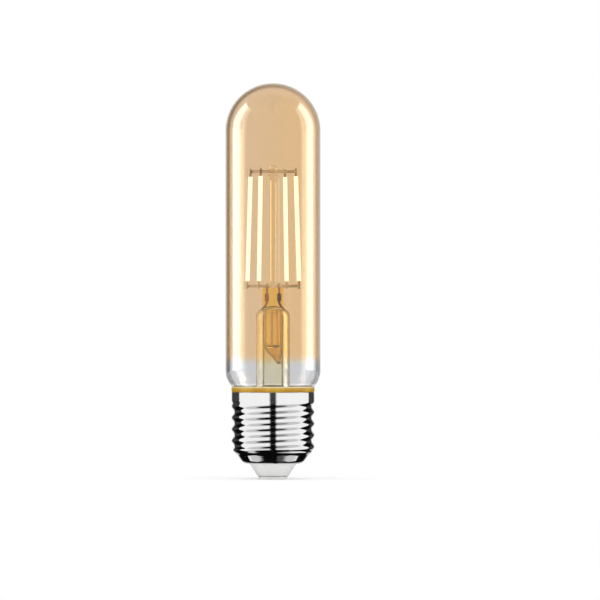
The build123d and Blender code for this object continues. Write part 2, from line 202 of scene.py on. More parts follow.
# %% Outlines from arcs and straight runs
def arc(centre, radius, start, end, steps):
    """Points on an arc in the plane of radius and height, angles in degrees from the outward direction."""
    turns = [radians(start + (end - start) * step / steps) for step in range(steps + 1)]
    return [(centre[0] + radius * cos(turn), centre[1] + radius * sin(turn)) for turn in turns]


def run(start, end, steps):
    """Evenly spaced points between two others, without the two ends."""
    shares = [step / steps for step in range(1, steps)]
    return [(start[0] + share * (end[0] - start[0]), start[1] + share * (end[1] - start[1])) for share in shares]


print("a quarter turn in 8 steps has", len(arc((0, 0), 1, 0, 90, 8)), "points")

# %% The turned-mesh helper
def turned(name, rings, segments, closed=False, crease=35):
    """A mesh from (radius, height) or (radius, height, sideways shift) rings, going up the outside."""
    points, loops, faces = [], [], []
    for radius, height, *shift in rings:
        sideways = shift[0] if shift else 0.0
        if radius == 0:
            loops.append([len(points)] * segments)
            points.append((sideways * MM, 0.0, height * MM))
            continue
        loops.append(range(len(points), len(points) + segments))
        for step in range(segments):
            angle = tau * step / segments
            reach = radius(angle) if callable(radius) else radius
            points.append(((reach * cos(angle) + sideways) * MM, reach * sin(angle) * MM, height * MM))
    pairs = list(zip(loops, loops[1:])) + ([(loops[-1], loops[0])] if closed else [])
    for lower, upper in pairs:
        for step in range(segments):
            ahead = (step + 1) % segments
            corners = (lower[step], lower[ahead], upper[ahead], upper[step])
            faces.append(tuple(dict.fromkeys(corners)))
    mesh = bpy.data.meshes.new(name)
    mesh.from_pydata(points, [], faces)
    mesh.shade_smooth()
    mesh.set_sharp_from_angle(angle=radians(crease))
    piece = bpy.data.objects.new(name, mesh)
    bpy.context.scene.collection.objects.link(piece)
    print(name, "turned from", len(rings), "rings of", segments, "points")
    return piece


# %% [markdown]
# ## The amber lustre
# The bulb is a drawn glass tube, blown round at the top and drawn in at the neck. Its amber is a thin lustre that
# stops a little above the cap. Below it the glass has only a faint grey veil, and none just above the cement.
# A volume that absorbs light would tint the thick edge far too much and could not fade out, so the tint is the
# shader's base colour, which glass applies once per wall.

# %% The lustre as a finish
lustre_fade, veil_fade = (35.2, 39.8), (29.5, 30.2)  # heights
bare_glass, grey_glass = (0.98, 0.98, 0.98, 1), (0.75, 0.755, 0.77, 1)
bare_edge, grey_edge, amber_edge = (0.55, 0.55, 0.55, 1), (0.11, 0.114, 0.12, 1), (0.50, 0.32, 0.15, 1)
pale_amber, deep_amber = (0.82, 0.69, 0.535, 1), (0.85, 0.67, 0.445, 1)

amber = new_finish("amber_lustre_glass")
glass_height = amber.along("Z")
lustre = amber.step(glass_height, *lustre_fade)
veil = amber.step(glass_height, *veil_fade)
# painted light: the lustre is paler on the left side, as a fill light's reflection there would make it, with a
# random tone on top
tone_and_painted_side_light = 0.7 * amber.step(amber.along("X"), -14.0, 14.0) + 0.3 * amber.noise(0.05, 1.0)
draw_lines = amber.noise(0.5, 2.0, (1, 1, 0.02))
amber.glass(
    amber.blend(lustre, amber.blend(veil, bare_glass, grey_glass), amber.blend(tone_and_painted_side_light, pale_amber, deep_amber)),
    amber.blend(lustre, amber.blend(veil, bare_edge, grey_edge), amber_edge),
    draw_lines,
    0.05,
)

# %% [markdown]
# ## The bulb's wall
# The Solidify modifier could thicken a single sheet. Here both faces are drawn, because their two reflections are
# what makes it read as thin glass. At the shoulder the inner face is the outer one moved inwards, not a smaller
# arc. Two equal faces bend light as a plain pane does, so one looks straight through to the cement.

# %% The outline of the bulb
glass_radius, glass_wall = 15.0, 0.8
dome_centre = (0, 110.0)
neck_radius, neck_top, seal_height = 12.15, 28.3, 26.0
shoulder_radius = 8.0
shoulder_middle = glass_radius - shoulder_radius
shoulder_height = neck_top + sqrt(shoulder_radius**2 - (neck_radius - shoulder_middle) ** 2)
shoulder_turn = degrees(acos((neck_radius - shoulder_middle) / shoulder_radius))
inner_rise = 0.25  # how much higher the inner shoulder sits, as a share of the wall


def bulb_outline(inset):
    """The outline from the neck to the top, moved inwards by the inset."""
    start = (neck_radius - inset, seal_height)
    bend_centre = (shoulder_middle - inset, shoulder_height + inner_rise * inset)
    shoulder = arc(bend_centre, shoulder_radius, -shoulder_turn, 0, 40)
    dome = arc(dome_centre, glass_radius - inset, 0, 90, 72)
    dome[-1] = (0, dome_centre[1] + glass_radius - inset)
    return [start] + run(start, shoulder[0], 4) + shoulder + run(shoulder[-1], dome[0], 60) + dome


outside, inside = bulb_outline(0), bulb_outline(glass_wall)
print("shoulder turns by", round(shoulder_turn, 1), "degrees, dome ends at", outside[-1][1], "mm")

# %% Both faces of the bulb
def dress(piece, node, material):
    """Puts a new piece in a solid's place, with its finish."""
    piece.data.materials.append(material)
    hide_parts(node)
    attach(piece, "root")
    print(piece.name, "stands for", node, "with", len(piece.data.polygons), "faces")


bulb_glass = turned("bulb_glass", inside[::-1] + outside, 160)
dress(bulb_glass, "glass_envelope", amber.owner)

# %% [markdown]
# ## The stem
# Inside the bulb stands the stem: a glass tube with a flared foot, fused to the neck, and a flat press at the top
# that grips the two lead-in wires. The glow of the lit filaments and the lustre round it is painted into its glass
# as a golden tint, deepest in the thick press. One mesh is enough if its rings go over from a circle to the
# press's rounded rectangle.

# %% A painted golden glow that fades towards the foot
foot_fade, press_fade = (33.0, 42.0), (53.4, 54.6)  # heights
golden = new_finish("golden_stem_glass")
stem_height = golden.along("Z")
rise = golden.step(stem_height, *foot_fade)
pressed = golden.step(stem_height, *press_fade)
streak = golden.noise(0.35, 2.0, (1, 1, 0.08))
warm = golden.blend(streak, (0.99, 0.96, 0.72, 1), (0.985, 0.91, 0.58, 1))
wall_tint = golden.blend(rise, (0.995, 0.955, 0.80, 1), warm)
golden.glass(
    golden.blend(pressed, wall_tint, (1.0, 0.79, 0.20, 1)),
    golden.blend(rise, (0.62, 0.46, 0.16, 1), (0.85, 0.55, 0.08, 1)),
    streak,
    0.12,
)

# %% The flat press
press_levels, press_top, press_edge = (55.4, 56.2, 57.2, 58.2, 59.2), 60.4, 0.5
press_half, press_power = (3.45, 1.7), 5.0  # the power says how square the press is


def press_reach(angle, inset=0.0):
    """Distance of the press's wall from the axis in a direction."""
    wide = abs(cos(angle) / (press_half[0] - inset)) ** press_power
    deep = abs(sin(angle) / (press_half[1] - inset)) ** press_power
    return (wide + deep) ** (-1 / press_power)


def crown_ring(step, steps):
    """A ring on the rounded upper edge of the press."""
    turn = pi / 2 * step / steps
    inset = press_edge * (1 - cos(turn))
    return (lambda angle: press_reach(angle, inset), press_top - press_edge * (1 - sin(turn)))


press = [(press_reach, height) for height in (*press_levels, press_top - press_edge)]
crown = [crown_ring(step, 5) for step in range(1, 6)] + [(0, press_top)]
print("press in mm:", round(2 * press_reach(0), 2), "by", round(2 * press_reach(pi / 2), 2))

# %% The shoulder that leads up to the press
stem_radius, stem_wall, stem_round = 5.4, 0.9, 2.6
shoulder_level, shoulder_length = 51.3, 3.6
round_rate, pinch_start = 1.25, 0.35  # of the shoulder's length


def eased(share):
    return share * share * (3 - 2 * share)


def shoulder_ring(step, steps):
    """A ring on the way from the round tube to the flat press."""
    share = step / steps
    rounding = sqrt(max(0.0, 1 - min(1.0, share * round_rate) ** 2))
    round_reach = stem_radius - stem_round + stem_round * rounding
    pinch = eased(max(0.0, (share - pinch_start) / (1 - pinch_start)))
    height = shoulder_level + share * shoulder_length
    return (lambda angle: (1 - pinch) * round_reach + pinch * press_reach(angle), height)


pinched = [shoulder_ring(step, 28) for step in range(29)]
print("the shoulder goes from round to flat in", len(pinched), "rings")

# %% The stem in one mesh
flare_radius, bore_end, fuse_gap = 4.4, 53.0, 0.02
flare_centre = (stem_radius + flare_radius, seal_height + flare_radius)
bore = [(0, bore_end)] + arc((stem_radius - stem_round, shoulder_level), stem_round - stem_wall, 90, 0, 12)
flare_inside = arc(flare_centre, flare_radius + stem_wall, 180, 270, 20)
flare_outside = arc(flare_centre, flare_radius, 270, 180, 20)
foot = [(neck_radius, seal_height - stem_wall), (neck_radius, seal_height - fuse_gap)]
wall = run(flare_outside[-1], (stem_radius, shoulder_level), 20)
stem_rings = bore + run(bore[-1], flare_inside[0], 20) + flare_inside + foot + flare_outside + wall
stem_glass = turned("stem_glass", stem_rings + pinched + press + crown, 120)
dress(stem_glass, "stem_tube", golden.owner)

# %% [markdown]
# ## The exhaust tube
# The air was drawn out through a thin tube below the press, which was then melted off in a slanting tip. The tip
# is coloured darker brown, nearly black at its end, the tube's right edge has painted shade, and the drawn tube
# shows lengthwise streaks. Sculpting could give the tip too, but rings that move sideways as they shrink do it
# exactly.

# %% Streaked glass, darker at the tip, with painted shade on the right edge
melt_fade, dark_tip_fade = (42.8, 41.4), (37.5, 36.6)  # heights, going down
left_streak, right_streak, painted_shade_right_span = (-0.5, -0.1), (1.3, 1.95), (0.3, 1.5)  # along X
tube_finish = new_finish("melted_tube_glass")
tube_height, tube_across = tube_finish.along("Z"), tube_finish.along("X")
flow_lines = tube_finish.noise(0.6, 2.0, (1, 1, 0.1))
mottled = tube_finish.blend(tube_finish.step(flow_lines, 0.48, 0.62), (0.99, 0.96, 0.80, 1), (0.93, 0.80, 0.50, 1))
streaks = tube_finish.between(tube_across, *left_streak, 0.15) + tube_finish.between(tube_across, *right_streak, 0.2)
clean = tube_finish.blend(streaks, mottled, (0.82, 0.62, 0.28, 1))
# painted shade: the tube's edge is darker on its right side
painted_shade_right = tube_finish.step(tube_across, *painted_shade_right_span)
clean_edge = tube_finish.blend(painted_shade_right, (0.84, 0.66, 0.30, 1), (0.56, 0.38, 0.14, 1))
melted = tube_finish.step(tube_height, *melt_fade)
# the tip's colour darkens towards its end, nearly black there
dark_tip = tube_finish.step(tube_height, *dark_tip_fade)
tip_tint = tube_finish.blend(dark_tip, (0.82, 0.62, 0.25, 1), (0.22, 0.12, 0.03, 1))
tube_finish.glass(
    tube_finish.blend(melted, clean, tip_tint),
    tube_finish.blend(melted, clean_edge, (0.10, 0.04, 0.01, 1)),
    flow_lines,
    0.1,
    (0.25, 0.65),
)

# %% The tube with its melted tip
tube_radius, tube_bore, tube_top, tube_end = 2.6, 2.0, 52.95, 41.3
hollow_round = 1.2
tip_length, tip_shift, tip_radius, tip_steps = 5.0, 1.9, 0.7, 14
hollow = [(0, tube_end)] + arc((tube_bore - hollow_round, tube_end + hollow_round), hollow_round, -90, 0, 8)
hollow += run(hollow[-1], (tube_bore, tube_top), 12) + [(tube_bore, tube_top)]
tip = [(0, tube_end - tip_length, tip_shift)]
for step in range(tip_steps + 1):
    share = 1 - step / tip_steps
    tip_reach = tube_radius + (tip_radius - tube_radius) * eased(share)
    tip.append((tip_reach, tube_end - tip_length * share, tip_shift * share))
tube_wall = run((tube_radius, tube_end), (tube_radius, tube_top), 12) + [(tube_radius, tube_top)]
exhaust_glass = turned("exhaust_glass", tip + tube_wall + hollow[::-1], 64)
dress(exhaust_glass, "exhaust_tube", tube_finish.owner)

# %% [markdown]
# ## The centre rod
# Above the press a thin glass rod carries the metal bridge at the filaments' upper ends, held between a collar and
# a melted button. A cylinder with two rings would do from afar. Turned in one outline, its collar and button flow
# into the rod as hot glass does.

# %% Rod, collar and button
rod_glass = new_finish("drawn_rod_glass")
rod_lines = rod_glass.noise(0.8, 2.0, (1, 1, 0.05))
rod_tint = rod_glass.blend(rod_lines, (0.93, 0.89, 0.74, 1), (0.90, 0.84, 0.64, 1))
rod_glass.glass(rod_tint, (0.62, 0.45, 0.20, 1), rod_lines, 0.1)

rod_radius, collar_radius, collar_height = 1.0, 1.5, 0.6
bridge_low, bridge_high, seat_gap = 96.65, 97.55, 0.05
rod_foot, grip_low, grip_high = press_top + fuse_gap, bridge_low - seat_gap, bridge_high + seat_gap
rod_side = run((rod_radius, rod_foot), (rod_radius, grip_low - 2 * collar_height), 30)
collar = arc((rod_radius, grip_low - collar_height), collar_radius - rod_radius, -60, 60, 8)
grip = [(rod_radius, grip_low), (rod_radius, grip_high)]
button = arc((0, grip_high), collar_radius, 0, 90, 16)
button[-1] = (0, grip_high + collar_radius)
rod_rings = [(0, rod_foot), (rod_radius, rod_foot)] + rod_side + collar + grip + button
centre_rod = turned("centre_rod", rod_rings, 48)
dress(centre_rod, "support_rod", rod_glass.owner)

# %% [markdown]
# ## The screw shell
# The cap is thin sheet, nickel-plated, with the thread rolled into it. A helix swept along the cap would give a
# sharp joint at both ends. Here every level is a circle whose centre runs round the axis once per pitch: it leans
# out where the crest passes and in at the root, so the thread is rounded and fades away by itself. Under the
# thread the cone starts with a shallow collar, which shows as a dark line in the plate.

# %% Bright plate, a little rubbed along the rolling direction
plate = new_finish("bright_nickel_plate")
rolling = plate.noise(2.2, 3.0, (0.05, 0.05, 3.0))
rub = plate.noise(0.35, 3.0)
plate.surface(
    Base_Color=plate.blend(rub, (0.90, 0.90, 0.90, 1), (0.95, 0.95, 0.945, 1)),
    Metallic=1.0,
    Roughness=0.035 + 0.05 * rolling + 0.03 * plate.step(rub, 0.5, 0.75),
    Normal=plate.bump(rolling, 0.04, 0.02),
)

# %% The rolled thread
crest_radius, root_radius, pitch = 13.1, 12.25, 3.63
thread_low, thread_high, run_out, crest_level = 8.4, 24.5, 1.0, 21.1
rows_per_pitch = 28


def thread_ring(height):
    """One level of the thread: a circle that leans towards the crest."""
    fade = min(1.0, (height - thread_low) / run_out, (thread_high - height) / run_out)
    swing = fade * (crest_radius - root_radius) / 2
    turn = tau * (height - crest_level) / pitch
    upper = height > (thread_low + thread_high) / 2
    size = crest_radius - swing if upper else root_radius + swing
    return (lambda angle: swing * cos(angle - turn) + sqrt(size**2 - (swing * sin(angle - turn)) ** 2), height)


rows = round(rows_per_pitch * (thread_high - thread_low) / pitch)
thread = [thread_ring(thread_low + (thread_high - thread_low) * row / rows) for row in range(rows + 1)]
print("thread:", rows, "rows,", round((thread_high - thread_low) / pitch, 2), "turns")

# %% The shell from lip to rim
rim, skirt_drop, shell_wall = 27.4, 0.1, 0.3
nose_radius, nose_level, nose_round, lip_radius = 9.2, 4.75, 2.6, 7.4
collar_low, collar_inset = 7.55, 0.26
cone_bore_low, cone_bore_radius, lip_top = 8.51, 9.06, 5.05
cone_lean = atan2(root_radius - nose_radius, thread_low - nose_level)  # from upright
nose_centre = (nose_radius - nose_round * (1 - sin(cone_lean)) / cos(cone_lean), nose_level + nose_round)
nose = [(lip_radius, nose_level)] + arc(nose_centre, nose_round, -90, -degrees(cone_lean), 10)
knee = (nose_radius + (collar_low - nose_level) * tan(cone_lean) - collar_inset, collar_low)
cone = run(nose[-1], knee, 10) + [knee] + run(knee, (root_radius, thread_low), 6)
skirt = run((crest_radius, thread_high), (crest_radius, rim - skirt_drop), 8)
edge = arc((crest_radius - shell_wall / 2, rim - shell_wall / 2), shell_wall / 2, 0, 180, 8)
skirt_bore, bore_radius = crest_radius - shell_wall, root_radius - shell_wall
lining = [(skirt_bore, thread_high), (bore_radius, thread_high), (bore_radius, cone_bore_low)]
lining += [(cone_bore_radius, lip_top), (lip_radius, lip_top)]
screw_shell = turned("screw_shell", nose + cone + thread + skirt + edge + lining, 180, closed=True)
dress(screw_shell, "cap_shell", plate.owner)

# %% [markdown]
# ## The cement
# A ring of golden cement joins the neck to the shell and shows as a bead above the rim. It is darker in its foot
# and has a painted highlight along its upper edge. Its seat against the glass is painted pale as painted light,
# and stains lie only on its outer face.
# A bevel could round the bead. Its face is drawn with a slight bulge instead, as a poured bead has.

# %% Poured cement with painted light: a highlight on top and a pale seat
bead_fade, highlight_fade, stain_and_pale_fade = (27.5, 28.9), (28.7, 28.95), (12.85, 12.98)  # two heights and a radius
painted_pale_seat, bead_painted_highlight, bead_stain = paint(250, 238, 200), paint(250, 232, 186), paint(140, 96, 26)
cement = new_finish("golden_cement")
grain = cement.noise(1.6, 4.0)
pour = cement.step(cement.noise(0.16, 2.0, (1, 1, 0.4)), 0.36, 0.64)
sunk = cement.blend(pour, paint(170, 118, 14), paint(192, 148, 34))
raised = cement.blend(pour, paint(204, 150, 36), paint(224, 186, 76))
bead_height = cement.along("Z")
bead_side = cement.blend(cement.step(bead_height, *bead_fade), sunk, raised)
# painted highlight: a pale colour along the bead's upper edge
bead_face = cement.blend(cement.step(bead_height, *highlight_fade), bead_side, bead_painted_highlight)
flat_place = cement.place((1, 1, 0))
from_axis = cement.node("ShaderNodeVectorMath", {"operation": "LENGTH"}, {0: flat_place}, "Value")
# painted light: the seat against the glass is painted pale; stains go only on the outer face
stain_and_painted_pale_mask = cement.step(from_axis, *stain_and_pale_fade)
bead_colour = cement.blend(stain_and_painted_pale_mask, painted_pale_seat, bead_face)
cement.surface(
    Base_Color=cement.blend(0.3 * grain * stain_and_painted_pale_mask, bead_colour, bead_stain),
    Roughness=0.18 + 0.2 * grain,
    Specular_IOR_Level=0.25,
    Coat_Weight=0.25,
    Coat_Roughness=0.06,
    Normal=cement.bump(grain, 0.2, 0.1),
)

# %% The bead and the seat of the glass
bead_radius, bead_low, bead_depth, bulge, face_steps = 13.15, 27.45, 1.2, 0.12, 10
edge_turn = 1.0  # degrees, over which the face goes into the seat
seat_radius, throat = shoulder_radius + seat_gap, neck_radius + seat_gap
bead_turn = degrees(acos((bead_radius - shoulder_middle) / seat_radius))
throat_turn = degrees(acos((throat - shoulder_middle) / seat_radius))
seat = arc((shoulder_middle, shoulder_height), seat_radius, -bead_turn - edge_turn, -throat_turn, 8)
bead_high = shoulder_height - seat_radius * sin(radians(bead_turn))
face = []
for step in range(face_steps + 1):
    share = step / face_steps
    face.append((bead_radius - bulge * (2 * share - 1) ** 2, bead_low + (bead_high - bead_low) * share))
skirt_gap, bead_foot = skirt_bore - seat_gap, rim - bead_depth
below = [(throat, bead_foot), (skirt_gap, bead_foot), (skirt_gap, bead_low)]
cement_ring = turned("cement_ring", face + seat + below, 160, closed=True)
dress(cement_ring, "basing_cement", cement.owner)

# %% [markdown]
# ## The insulator
# Below the shell a pale moulded ring keeps the contact apart from it. A sharp foot would vanish against the white
# floor, and a real moulding has none, so the outline starts with a small arc. Its flange lies hidden in the cap.

# %% Pale moulding
ceramic = new_finish("pale_insulator")
speck = ceramic.noise(3.0, 4.0)
haze = ceramic.noise(0.25, 2.0)
ceramic.surface(
    Base_Color=ceramic.blend(haze, paint(233, 233, 233), paint(244, 243, 241)),
    Roughness=0.28 + 0.18 * speck,
    Normal=ceramic.bump(speck, 0.12, 0.05),
)

foot_radius, foot_level, foot_fillet, foot_end = 5.1, 0.95, 0.3, -32
insulator_neck, taper_drop, lip_clearance = 7.35, 0.12, 0.02
flange_radius, flange_low, flange_top, shank_hole = 8.0, 5.1, 6.1, 1.25
foot_round = arc((foot_radius - foot_fillet, foot_level + foot_fillet), foot_fillet, -90, foot_end, 6)
taper = run(foot_round[-1], (insulator_neck, nose_level - taper_drop), 8)
flange = [(insulator_neck, nose_level - lip_clearance), (insulator_neck, flange_low)]
flange += [(flange_radius, flange_low), (flange_radius, flange_top), (shank_hole, flange_top)]
insulator_rings = [(shank_hole, foot_level)] + foot_round + taper + flange
insulator_ring = turned("insulator_ring", insulator_rings, 120, closed=True)
dress(insulator_ring, "cap_insulator", ceramic.owner)

# %% [markdown]
# ## The lit filaments
# Each filament is a strip of tiny diodes under a yellow phosphor coat. When lit, it shines so evenly that it reads
# as a warm white stick, even through the amber wall. The solid has the right shape, so only its finish is made:
# an emission a little above white, with the coat's grain in its colour and in a bump.

# %% The phosphor's glow
phosphor = new_finish("glowing_phosphor")
crumb = phosphor.noise(5.0, 3.0)
diodes = phosphor.step(phosphor.noise(1.1, 1.0, (0.2, 0.2, 1)), 0.35, 0.65)
phosphor.surface(
    Base_Color=phosphor.blend(crumb, paint(236, 205, 110), paint(248, 226, 150)),
    Roughness=0.6 + 0.2 * crumb,
    Emission_Color=phosphor.blend(diodes, (1.0, 0.96, 0.88, 1), (1.0, 0.975, 0.93, 1)),
    Emission_Strength=1.65,
    Normal=phosphor.bump(crumb, 0.3, 0.05),
)


def keep(material, *nodes):
    """Gives solids that stay as they are their finish."""
    for name in nodes:
        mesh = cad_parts[name].data
        mesh.materials.clear()
        mesh.materials.append(material)
    print(material.name, "on", len(nodes), "solids")


keep(phosphor.owner, *[f"filament_{number}" for number in (1, 2, 3, 4)])

# %% [markdown]
# ## Strips and tabs
# The filaments hang between stamped metal strips, welded at their tabs. Three of the lower tabs are as bright as
# the strips, the other five are tarnished by the weld. One polished metal for all would look too clean on parts
# this small, so there are two rough ones, each with a noise for the marks of stamp or weld.

# %% Stamped strip
strip = new_finish("stamped_strip_metal")
stamped = strip.noise(1.4, 3.0, (1, 1, 0.3))
strip.surface(
    Base_Color=strip.blend(stamped, (0.86, 0.76, 0.58, 1), (0.95, 0.87, 0.70, 1)),
    Metallic=1.0,
    Roughness=0.38 + 0.2 * stamped,
    Normal=strip.bump(stamped, 0.2, 0.03),
)
bright_tabs = [f"filament_{number}_bottom_tab" for number in (1, 2, 3)]
keep(strip.owner, "bottom_bracket_left", "bottom_bracket_right", "top_bridge", *bright_tabs)

# %% Tarnished tabs
tab = new_finish("welded_tab_metal")
weld_scale = tab.noise(1.8, 3.0)
tab.surface(
    Base_Color=tab.blend(weld_scale, (0.36, 0.25, 0.13, 1), (0.52, 0.39, 0.23, 1)),
    Metallic=1.0,
    Roughness=0.4 + 0.2 * weld_scale,
    Normal=tab.bump(weld_scale, 0.2, 0.03),
)
dark_tabs = [f"filament_{number}_top_tab" for number in (1, 2, 3, 4)]
keep(tab.owner, "filament_4_bottom_tab", *dark_tabs)

# %% [markdown]
# ## The lead-in wires
# The wires are bare metal except in the press, where the glass has fused to their oxide: reddish on the left wire
# and nearly black on the right one, turning golden towards the top. Two materials would need a cut mesh. Height
# and side tell where a point is, so masks of the coordinates mix the metals in one finish.

# %% Sealed lead-in wire
seal_span, gold_fade = (54.2, 60.0), (58.5, 59.0)  # heights
lead = new_finish("sealed_lead_wire")
wire_height = lead.along("Z")
sealed = lead.between(wire_height, *seal_span, 0.4)
right_wire = lead.step(lead.along("X"), -1.0, 1.0)
drawn = lead.noise(2.0, 2.0, (1, 1, 0.1))
nickel = lead.blend(drawn, (0.54, 0.49, 0.42, 1), (0.70, 0.65, 0.58, 1))
bare = lead.blend(right_wire, nickel, (0.55, 0.38, 0.18, 1))
knot = lead.blend(right_wire, (0.92, 0.56, 0.22, 1), (0.16, 0.055, 0.003, 1))
oxide = lead.blend(lead.step(wire_height, *gold_fade), knot, (0.95, 0.70, 0.30, 1))
lead.surface(
    Base_Color=lead.blend(sealed, bare, oxide),
    Metallic=1 - sealed,
    Roughness=0.3 + 0.15 * drawn,
    Specular_IOR_Level=0.05,
    Normal=lead.bump(drawn, 0.1, 0.02),
)
keep(lead.owner, "lead_wire_left", "lead_wire_right")

# %% [markdown]
# ## The contact
# Under the cap sits the round contact, rubbed bright on its face by the lampholder, with painted shade above it
# where it meets the insulator. Its solid already has a rounded edge, so it only needs a finish. The face could get
# a second material, but height alone parts it from the rest.

# %% Contact with painted shade above its face
gap_shadow_fade = (0.52, 0.72)  # heights
solder = new_finish("contact_metal_with_painted_shade")
wear = solder.noise(0.9, 4.0)
worn = solder.blend(wear, (0.90, 0.90, 0.89, 1), (0.97, 0.96, 0.95, 1))
# painted shade: the contact is dark grey above its face, along the gap under the insulator
painted_gap_shadow = solder.step(solder.along("Z"), *gap_shadow_fade)
solder.surface(
    Base_Color=solder.blend(painted_gap_shadow, worn, (0.44, 0.44, 0.44, 1)),
    Metallic=0.25,
    Roughness=0.5 + 0.2 * wear,
    Normal=solder.bump(wear, 0.2, 0.05),
)
keep(solder.owner, "centre_contact")

# %% [markdown]
# ## What sits inside the cap
# A small driver feeds the filaments from inside the shell. It hardly shows, but each solid still gets a finish
# that tells what it is. Faces could be given materials one by one, but that changes the mesh. Where a point lies
# tells body, legs and sleeve apart just as well, as on the wires.

# %% Board and copper
board = new_finish("green_circuit_board")
fibre = board.noise(2.5, 2.0)
tracks = board.step(board.noise(0.5, 0.0), 0.52, 0.56)
mask_green = board.blend(tracks, (0.012, 0.10, 0.035, 1), (0.03, 0.17, 0.06, 1))
board.surface(
    Base_Color=board.blend(0.3 * fibre, mask_green, (0.01, 0.05, 0.02, 1)),
    Roughness=0.3 + 0.2 * fibre,
    Normal=board.bump(tracks, 0.2, 0.03),
)
keep(board.owner, "driver_board")

copper = new_finish("tinned_copper_lead")
tin = copper.noise(1.5, 3.0)
copper.surface(
    Base_Color=copper.blend(copper.step(tin, 0.55, 0.7), (0.62, 0.61, 0.60, 1), (0.62, 0.38, 0.24, 1)),
    Metallic=1.0,
    Roughness=0.3 + 0.2 * tin,
)
keep(copper.owner, "live_lead", "neutral_lead")

# %% Moulded packages and chip resistors
tinned = (0.60, 0.60, 0.60, 1)
package_row, resistor_row = -3.0, 6.4  # where their middles lie along Y and X

chip = new_finish("moulded_black_package")
leg = chip.step(abs(chip.along("Y") - package_row), 1.93, 1.98)
flow = chip.noise(4.0, 3.0)
moulding = chip.blend(flow, (0.012, 0.012, 0.013, 1), (0.03, 0.03, 0.03, 1))
chip.surface(
    Base_Color=chip.blend(leg, moulding, tinned),
    Metallic=leg,
    Roughness=0.5 - 0.2 * leg + 0.1 * flow,
    Normal=chip.bump(flow, 0.15, 0.03),
)
keep(chip.owner, "bridge_rectifier", "driver_chip")

chip_resistor = new_finish("chip_resistor_glaze")
ends = chip_resistor.step(abs(abs(chip_resistor.along("X")) - resistor_row), 0.62, 0.68)
glaze = chip_resistor.noise(5.0, 2.0)
chip_resistor.surface(
    Base_Color=chip_resistor.blend(ends, (0.015, 0.015, 0.017, 1), tinned),
    Metallic=ends,
    Roughness=0.25 + 0.2 * glaze,
)
keep(chip_resistor.owner, "sense_resistor_1", "sense_resistor_2")

# %% Fuse resistor and capacitor
fuse = new_finish("lacquered_fuse_resistor")
from_middle = abs(fuse.along("X"))
fuse_wire = fuse.step(from_middle, 3.1, 3.2)
bands = fuse.between(from_middle, 1.2, 1.7, 0.03)
lacquer = fuse.noise(2.0, 3.0)
fuse_body = fuse.blend(lacquer, (0.10, 0.17, 0.12, 1), (0.14, 0.22, 0.16, 1))
fuse.surface(
    Base_Color=fuse.blend(fuse_wire, fuse.blend(bands, fuse_body, (0.10, 0.05, 0.02, 1)), tinned),
    Metallic=fuse_wire,
    Roughness=0.35 + 0.15 * lacquer,
)
keep(fuse.owner, "fuse_resistor")

sleeve = new_finish("capacitor_sleeve")
can_height = sleeve.along("Z")
can = sleeve.step(can_height, 18.17, 18.22) + (1 - sleeve.step(can_height, 8.92, 9.02))
stripe = sleeve.between(sleeve.along("X"), 2.0, 4.0, 0.05)
shrink = sleeve.noise(0.8, 3.0)
wrap = sleeve.blend(stripe, (0.012, 0.013, 0.02, 1), (0.35, 0.35, 0.36, 1))
sleeve_colour = sleeve.blend(0.2 * shrink, wrap, (0.05, 0.05, 0.06, 1))
sleeve.surface(
    Base_Color=sleeve.blend(can, sleeve_colour, (0.7, 0.7, 0.7, 1)),
    Metallic=can,
    Roughness=0.3 + 0.2 * shrink,
    Normal=sleeve.bump(shrink, 0.1, 0.05),
)
keep(sleeve.owner, "smoothing_capacitor")

# %% [markdown]
# ## The studio as directions
# Glass and chrome show their surroundings, so the studio matters as much as the finishes. Cards and lamps could be
# modelled round the object, but they would also shade it and show in other views. Here the world itself is the
# studio: its strength depends on where a ray goes. Bearing counts from the camera to either side, elevation up.

# %% Bearing and elevation of a ray
scene = bpy.context.scene
scene.world = bpy.data.worlds.new("white_studio")
scene.world.cycles.sampling_method = "NONE"  # for matt surfaces it is an even white, with no bright spots to seek
studio = Finish(scene.world)
direction = studio.node("ShaderNodeTexCoord", output="Generated")
east, north, up = [studio.node("ShaderNodeSeparateXYZ", None, {0: direction}, axis) for axis in "XYZ"]
bearing = east.math("ARCTAN2", east, -north) * degrees(1)  # 0 towards the camera, positive to its right
elevation = up.math("ARCSINE", up) * degrees(1)
from_camera = north.math("ARCCOSINE", -north) * degrees(1)  # the angle between the ray and the camera's direction
to_left, side = -bearing, abs(bearing)
dip, tilt = -elevation, abs(elevation)
left_share = studio.step(to_left, -10.0, 10.0)
print("nodes that tell the direction:", len(studio.tree.nodes))

# %% [markdown]
# ## Soft lights in the glass
# The two white bands along the bulb are soft lights at its sides. Each has a bright core that ends level with the
# shoulder, and in front of it a dimmer lobe that goes on down and swings back there, so the band bends round the
# shoulder. A narrow spill lies behind the core on the right. The levels compare to the wall, which has 1.

# %% Cores, lobes and spill
wall_level, core_level, lobe_level, spill_level = 1.0, 6.2, 2.9, 2.0
left_core, right_core, right_spill = (89.0, 116.5), (90.0, 116.0), (116.0, 125.0)  # bearings
near_edge, far_edge, near_swing, far_swing = (74.0, 77.0), (88.0, 91.0), 24.0, 34.0  # of a lobe, bearings too
core_span, lobe_span = (-1.7, 44.0), (-66.0, 44.0)  # elevations
core = studio.between(to_left, *left_core, 1.2) + studio.between(bearing, *right_core, 1.2)
spill = studio.between(bearing, *right_spill, 1.5)
core_rise = (core_level - wall_level) * core + (spill_level - wall_level) * spill
core_height = studio.between(elevation, *core_span, 0.9)
lobe_near = studio.step(side - near_swing * studio.step(dip, 28.0, 44.0), *near_edge)
lobe_far = studio.step(side - far_swing * studio.step(dip, 14.0, 46.0), *far_edge)
low_lobe = (0.5 + 2.1 * left_share) * studio.step(dip, 2.0, 8.0)
